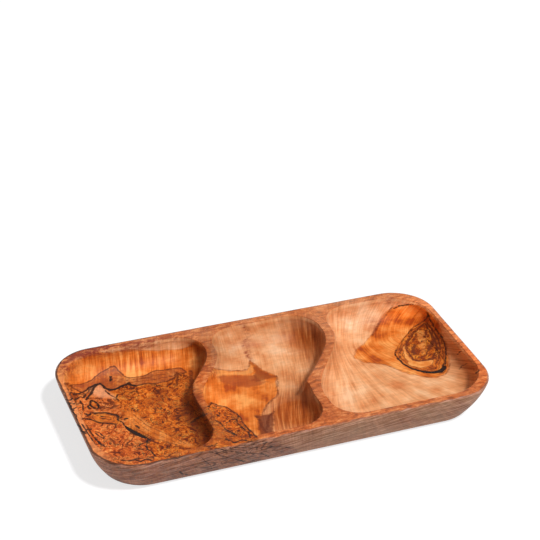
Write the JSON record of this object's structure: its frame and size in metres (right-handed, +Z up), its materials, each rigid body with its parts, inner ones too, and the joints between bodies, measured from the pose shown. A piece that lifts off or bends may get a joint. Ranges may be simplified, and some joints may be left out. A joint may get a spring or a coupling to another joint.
{
  "type": "divided serving tray",
  "caption": "Long rectangular olive wood serving tray with rounded corners, leaning walls and coved hollows parted by S-shaped dividers, for dips and snacks.",
  "frame": {"origin": "middle of the flat base, on the surface that the tray stands on", "axes": "+X along the tray to the end with the large knot, +Y to the back, +Z up"},
  "size_m": [0.3, 0.15, 0.028],
  "materials": {
    "olive_wood": "oiled and hand sanded",
    "knot_wood": "oiled and hand sanded",
    "bark": "oiled, sanded flush"
  },
  "bodies": {
    "root": {"tray_body": "olive_wood", "branch_knot": "knot_wood", "knot_bark": "bark", "long_knot": "knot_wood", "eye_knot": "knot_wood", "bark_seam": "bark"}
  },
  "joints": []
}
